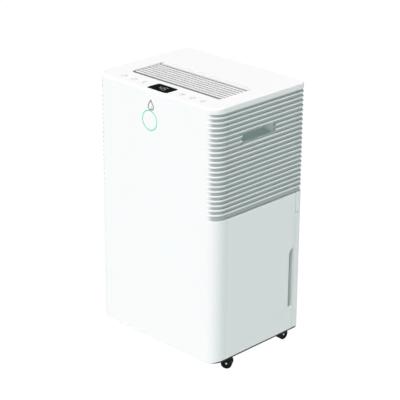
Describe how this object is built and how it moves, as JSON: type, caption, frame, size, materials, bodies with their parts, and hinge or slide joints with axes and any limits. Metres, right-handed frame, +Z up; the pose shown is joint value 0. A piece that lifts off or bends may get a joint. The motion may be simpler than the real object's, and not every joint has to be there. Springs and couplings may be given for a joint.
{
  "type": "dehumidifier",
  "caption": "Tall portable dehumidifier with ribbed sides, top air outlet, touch display, slide-out water tank and swivel castors.",
  "frame": {"origin": "on the floor, below the middle of the casing's footprint", "axes": "+X towards the side the tank slides out of, -Y towards the front face, +Z up"},
  "size_m": [0.34, 0.261, 0.57],
  "materials": {
    "shell_white": "fine satin moulded plastic",
    "shell_grey": "satin moulded plastic, cool light grey",
    "grille_grey": "satin",
    "pocket_grey": "satin",
    "base_dark": "textured",
    "window_black": "polished",
    "ring_mint": "frosted light guide",
    "filter_grey": "satin",
    "filter_net": "woven net",
    "board_green": "solder mask",
    "spring_steel": "plated",
    "inner_white": "plain moulded",
    "inner_black": "plain moulded",
    "tank_clear": "translucent moulded",
    "lid_white": "satin",
    "bail_grey": "satin",
    "foam_white": "closed-cell foam",
    "magnet_dark": "ferrite",
    "fin_aluminium": "bare fins",
    "compressor_black": "satin black paint",
    "foot_rubber": "matt rubber",
    "screw_steel": "zinc plated",
    "pipe_copper": "bare copper",
    "fan_grey": "satin",
    "motor_steel": "pressed steel",
    "capacitor_grey": "drawn can",
    "castor_black": "moulded nylon",
    "wheel_rubber": "solid tread"
  },
  "bodies": {
    "casing": {"base_tray": "base_dark", "front_cover": "shell_white", "left_side_panel": "shell_grey", "right_side_panel": "shell_grey", "top_cover": "shell_white", "rear_cover": "shell_grey", "outlet_grille": "grille_grey", "display_window": "window_black", "control_board": "board_green", "touch_springs": "spring_steel", "light_ring": "ring_mint", "ring_light_board": "board_green", "left_carry_pocket": "pocket_grey", "right_carry_pocket": "pocket_grey", "mid_deck": "inner_white", "tank_bay": "inner_white", "float_sensor": "inner_black", "drip_tray": "inner_white", "evaporator": "fin_aluminium", "condenser": "fin_aluminium", "compressor": "compressor_black", "accumulator": "compressor_black", "compressor_feet": "foot_rubber", "compressor_bolts": "screw_steel", "discharge_pipe": "pipe_copper", "suction_pipe": "pipe_copper", "fan_housing": "inner_white", "fan_motor": "motor_steel", "electronics_box": "inner_white", "main_board": "board_green", "capacitor": "capacitor_grey", "drain_spigot": "lid_white", "cable_gland": "inner_black", "cover_screws": "screw_steel", "castor_stems": "screw_steel"},
    "tank": {"water_tank": "tank_clear", "tank_front": "shell_grey"},
    "tank_lid": {"tank_lid": "lid_white"},
    "tank_bail": {"tank_bail": "bail_grey"},
    "float": {"float_arm": "lid_white", "float_block": "foam_white", "float_magnet": "magnet_dark"},
    "rear_grille": {"rear_grille": "shell_grey", "filter_frame": "filter_grey", "filter_mesh": "filter_net"},
    "drain_door": {"drain_door": "shell_grey"},
    "fan": {"fan_wheel": "fan_grey", "fan_shaft": "screw_steel"},
    "castor_front_right": {"castor_fork_front_right": "castor_black"},
    "wheels_front_right": {"castor_wheels_front_right": "wheel_rubber", "castor_axle_front_right": "screw_steel"},
    "castor_front_left": {"castor_fork_front_left": "castor_black"},
    "wheels_front_left": {"castor_wheels_front_left": "wheel_rubber", "castor_axle_front_left": "screw_steel"},
    "castor_rear_right": {"castor_fork_rear_right": "castor_black"},
    "wheels_rear_right": {"castor_wheels_rear_right": "wheel_rubber", "castor_axle_rear_right": "screw_steel"},
    "castor_rear_left": {"castor_fork_rear_left": "castor_black"},
    "wheels_rear_left": {"castor_wheels_rear_left": "wheel_rubber", "castor_axle_rear_left": "screw_steel"}
  },
  "joints": [
    {"name": "tank_slide", "type": "slide", "parent": "casing", "child": "tank", "axis": [1, 0, 0], "range_m": [0, 0.17]},
    {"name": "tank_lid_lift", "type": "slide", "parent": "tank", "child": "tank_lid", "axis": [0, 0, 1], "range_m": [0, 0.05]},
    {"name": "tank_bail_swing", "type": "hinge", "parent": "tank", "child": "tank_bail", "pos_m": [0.077, 0.00725, 0.248], "axis": [0, -1, 0], "range_deg": [0, 90]},
    {"name": "float_swing", "type": "hinge", "parent": "tank", "child": "float", "pos_m": [0.023, 0.00725, 0.244], "axis": [0, -1, 0], "range_deg": [0, 15]},
    {"name": "rear_grille_pull", "type": "slide", "parent": "casing", "child": "rear_grille", "axis": [0, 1, 0], "range_m": [0, 0.06]},
    {"name": "drain_door_swing", "type": "hinge", "parent": "casing", "child": "drain_door", "pos_m": [-0.07, 0.1283, 0.2702], "axis": [1, 0, 0], "range_deg": [0, 95]},
    {"name": "fan_spin", "type": "hinge", "parent": "casing", "child": "fan", "pos_m": [0, -0.02675, 0.4315], "axis": [0, 1, 0], "continuous": true},
    {"name": "castor_front_right_swivel", "type": "hinge", "parent": "casing", "child": "castor_front_right", "pos_m": [0.1446, -0.08, 0.027], "axis": [0, 0, 1], "continuous": true},
    {"name": "castor_front_right_roll", "type": "hinge", "parent": "castor_front_right", "child": "wheels_front_right", "pos_m": [0.15508, -0.07319, 0.0115], "axis": [-0.5446, 0.8387, 0], "continuous": true},
    {"name": "castor_front_left_swivel", "type": "hinge", "parent": "casing", "child": "castor_front_left", "pos_m": [-0.1446, -0.08, 0.027], "axis": [0, 0, 1], "continuous": true},
    {"name": "castor_front_left_roll", "type": "hinge", "parent": "castor_front_left", "child": "wheels_front_left", "pos_m": [-0.14032, -0.06825, 0.0115], "axis": [-0.9397, 0.342, 0], "continuous": true},
    {"name": "castor_rear_right_swivel", "type": "hinge", "parent": "casing", "child": "castor_rear_right", "pos_m": [0.1446, 0.088, 0.027], "axis": [0, 0, 1], "continuous": true},
    {"name": "castor_rear_right_roll", "type": "hinge", "parent": "castor_rear_right", "child": "wheels_rear_right", "pos_m": [0.14525, 0.10048, 0.0115], "axis": [-0.9986, 0.0523, 0], "continuous": true},
    {"name": "castor_rear_left_swivel", "type": "hinge", "parent": "casing", "child": "castor_rear_left", "pos_m": [-0.1446, 0.088, 0.027], "axis": [0, 0, 1], "continuous": true},
    {"name": "castor_rear_left_roll", "type": "hinge", "parent": "castor_rear_left", "child": "wheels_rear_left", "pos_m": [-0.15085, 0.09883, 0.0115], "axis": [-0.866, -0.5, 0], "continuous": true}
  ]
}
